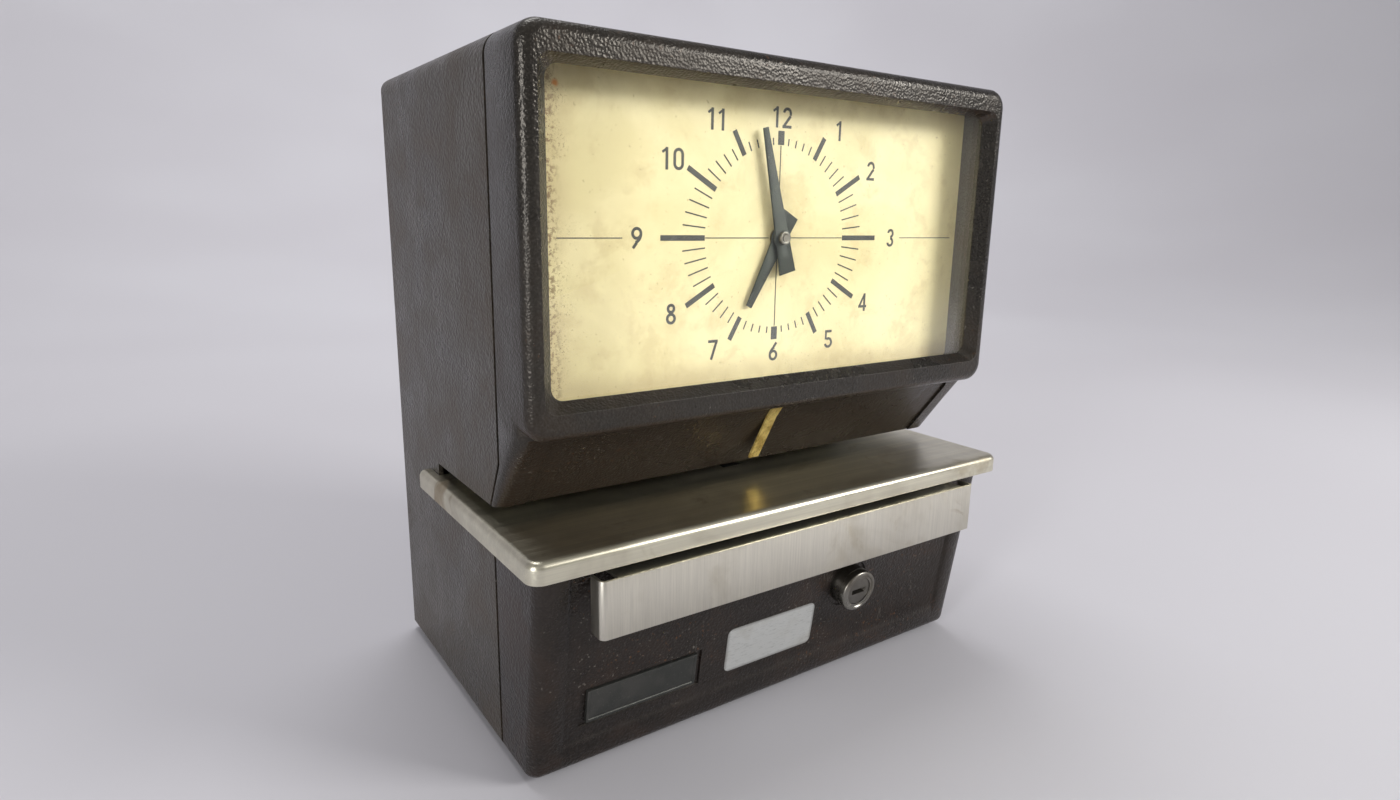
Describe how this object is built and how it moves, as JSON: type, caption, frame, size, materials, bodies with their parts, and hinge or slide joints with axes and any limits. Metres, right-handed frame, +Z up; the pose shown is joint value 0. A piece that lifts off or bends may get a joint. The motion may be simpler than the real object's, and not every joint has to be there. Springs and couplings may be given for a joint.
{
  "type": "bar-operated time clock",
  "caption": "Time clock in a painted steel case: wide dial behind glass over a steel table, a throat for the form, and a push bar that prints the time on it.",
  "frame": {"origin": "centre of the bounding box in plan, on the surface that the rubber feet stand on", "axes": "+Z up, -Y out of the dial towards the person who reads it, +X to that person's right"},
  "size_m": [0.2612, 0.1864, 0.285],
  "materials": {
    "case_paint": "hammered dark brown enamel",
    "cover_paint": "hammered dark enamel",
    "bezel_paint": "semi-gloss hammered enamel",
    "glass": "clear window glass",
    "dark_frame": "matt dark paint",
    "dial_enamel": "aged cream enamel",
    "dial_ink": "printed black ink",
    "hand_paint": "satin black-green paint",
    "pointer_brass": "worn brass",
    "gear_brass": "turned and cut brass",
    "table_steel": "brushed stainless sheet",
    "bar_steel": "brushed stainless sheet",
    "bright_steel": "bright turned steel",
    "zinc_steel": "zinc-plated sheet",
    "lock_nickel": "dull nickel plate",
    "lock_dark": "dark plated collar",
    "name_metal": "dark cast plate",
    "foil": "satin foil",
    "type_metal": "type metal",
    "spool_plastic": "moulded plastic",
    "ribbon_fabric": "inked woven ribbon",
    "motor_steel": "plated steel can",
    "nylon": "nylon",
    "black_plastic": "moulded plastic",
    "rubber": "matt rubber"
  },
  "bodies": {
    "root": {"rear_shell": "case_paint", "front_bezel": "bezel_paint", "dial_glass": "glass", "glass_retainer": "dark_frame", "pointer_strip": "pointer_brass", "dial_plate": "dial_enamel", "dial_markings": "dial_ink", "dial_posts": "bright_steel", "base_plate": "zinc_steel", "cover_dowels": "bright_steel", "rubber_feet": "rubber", "left_frame": "zinc_steel", "right_frame": "zinc_steel", "frame_crossbars": "zinc_steel", "table_tray": "table_steel", "head_floor": "zinc_steel", "movement_front_plate": "gear_brass", "movement_rear_plate": "gear_brass", "movement_pillars": "bright_steel", "clock_motor": "motor_steel", "type_bracket": "zinc_steel", "ribbon": "ribbon_fabric", "ribbon_plate": "zinc_steel", "hammer_guide": "zinc_steel", "rocker_rod": "bright_steel", "terminal_block": "nylon", "inlet_bushing": "black_plastic", "lock_keeper": "zinc_steel", "bezel_screws": "bright_steel", "chassis_screws": "bright_steel"},
    "minute": {"minute_arbor": "bright_steel", "centre_wheel": "gear_brass", "cannon_pinion": "gear_brass", "minute_hand": "hand_paint", "hand_nut": "gear_brass"},
    "hour": {"hour_wheel": "gear_brass", "hour_hand": "hand_paint"},
    "motion": {"motion_wheel": "gear_brass"},
    "pinion": {"motor_pinion": "bright_steel"},
    "idler_upper": {"upper_idler": "gear_brass"},
    "idler_lower": {"lower_idler": "gear_brass"},
    "type_shaft": {"type_shaft": "bright_steel", "minute_type_wheel": "type_metal"},
    "hour_type": {"hour_type_wheel": "type_metal"},
    "date_type": {"date_type_wheel": "type_metal"},
    "month_type": {"month_type_wheel": "type_metal"},
    "spool_left": {"left_ribbon_spool": "spool_plastic"},
    "spool_right": {"right_ribbon_spool": "spool_plastic"},
    "cover": {"lower_cover": "cover_paint", "nameplate": "name_metal", "info_plate": "foil", "bar_bushings": "nylon", "bar_springs": "bright_steel", "lock_body": "lock_dark"},
    "lock": {"lock_plug": "lock_nickel", "lock_cam": "zinc_steel"},
    "bar": {"print_bar": "bar_steel"},
    "rocker": {"bar_rocker": "zinc_steel"},
    "hammer": {"hammer": "zinc_steel", "hammer_pad": "rubber"}
  },
  "joints": [
    {"name": "minute_turn", "type": "hinge", "parent": "root", "child": "minute", "pos_m": [0, -0.03975, 0.2149], "axis": [0, 1, 0], "continuous": true},
    {"name": "hour_turn", "type": "hinge", "parent": "root", "child": "hour", "pos_m": [0, -0.03975, 0.2149], "axis": [0, 1, 0], "continuous": true},
    {"name": "motion_turn", "type": "hinge", "parent": "root", "child": "motion", "pos_m": [0, -0.03975, 0.1999], "axis": [0, 1, 0], "continuous": true},
    {"name": "motor_turn", "type": "hinge", "parent": "root", "child": "pinion", "pos_m": [-0.018, -0.03975, 0.2149], "axis": [0, 1, 0], "continuous": true},
    {"name": "upper_idler_turn", "type": "hinge", "parent": "root", "child": "idler_upper", "pos_m": [0.00952, -0.03975, 0.18645], "axis": [0, 1, 0], "continuous": true},
    {"name": "lower_idler_turn", "type": "hinge", "parent": "root", "child": "idler_lower", "pos_m": [0.00952, -0.03975, 0.15645], "axis": [0, 1, 0], "continuous": true},
    {"name": "type_turn", "type": "hinge", "parent": "root", "child": "type_shaft", "pos_m": [0, -0.03975, 0.128], "axis": [0, 1, 0], "continuous": true},
    {"name": "hour_type_turn", "type": "hinge", "parent": "root", "child": "hour_type", "pos_m": [0, -0.03975, 0.128], "axis": [0, 1, 0], "continuous": true},
    {"name": "date_type_turn", "type": "hinge", "parent": "root", "child": "date_type", "pos_m": [0, -0.03975, 0.128], "axis": [0, 1, 0], "continuous": true},
    {"name": "month_type_turn", "type": "hinge", "parent": "root", "child": "month_type", "pos_m": [0, -0.03975, 0.128], "axis": [0, 1, 0], "continuous": true},
    {"name": "left_spool_turn", "type": "hinge", "parent": "root", "child": "spool_left", "pos_m": [-0.046, -0.03975, 0.135], "axis": [0, 1, 0], "continuous": true},
    {"name": "right_spool_turn", "type": "hinge", "parent": "root", "child": "spool_right", "pos_m": [0.046, -0.03975, 0.135], "axis": [0, 1, 0], "continuous": true},
    {"name": "cover_pull", "type": "slide", "parent": "root", "child": "cover", "axis": [0, -1, 0], "range_m": [0, 0.05]},
    {"name": "lock_turn", "type": "hinge", "parent": "cover", "child": "lock", "pos_m": [0.0395, -0.07389, 0.05], "axis": [0, 0.9898, 0.1423], "range_deg": [-90, 0]},
    {"name": "bar_press", "type": "slide", "parent": "cover", "child": "bar", "axis": [0, 1, 0], "range_m": [0, 0.004], "stiffness_N_per_m": 900, "springref_m": -0.004, "deforming": ["bar_springs"]},
    {"name": "rocker_turn", "type": "hinge", "parent": "root", "child": "rocker", "pos_m": [0, -0.04475, 0.089], "axis": [1, 0, 0], "range_deg": [0, 21]},
    {"name": "hammer_lift", "type": "slide", "parent": "root", "child": "hammer", "axis": [0, 0, 1], "range_m": [0, 0.0053]}
  ],
  "couplings": [
    {"joint": "hour_turn", "follows": "minute_turn", "ratio": 0.083333},
    {"joint": "motion_turn", "follows": "minute_turn", "ratio": -0.33333},
    {"joint": "motor_turn", "follows": "minute_turn", "ratio": -5},
    {"joint": "upper_idler_turn", "follows": "minute_turn", "ratio": -1},
    {"joint": "lower_idler_turn", "follows": "minute_turn", "ratio": 1},
    {"joint": "type_turn", "follows": "minute_turn", "ratio": -1},
    {"joint": "hour_type_turn", "follows": "minute_turn", "ratio": -0.041667},
    {"joint": "right_spool_turn", "follows": "left_spool_turn", "ratio": 1},
    {"joint": "rocker_turn", "follows": "bar_press", "rad_per_m": 90.909},
    {"joint": "hammer_lift", "follows": "bar_press", "ratio": 1.3}
  ]
}
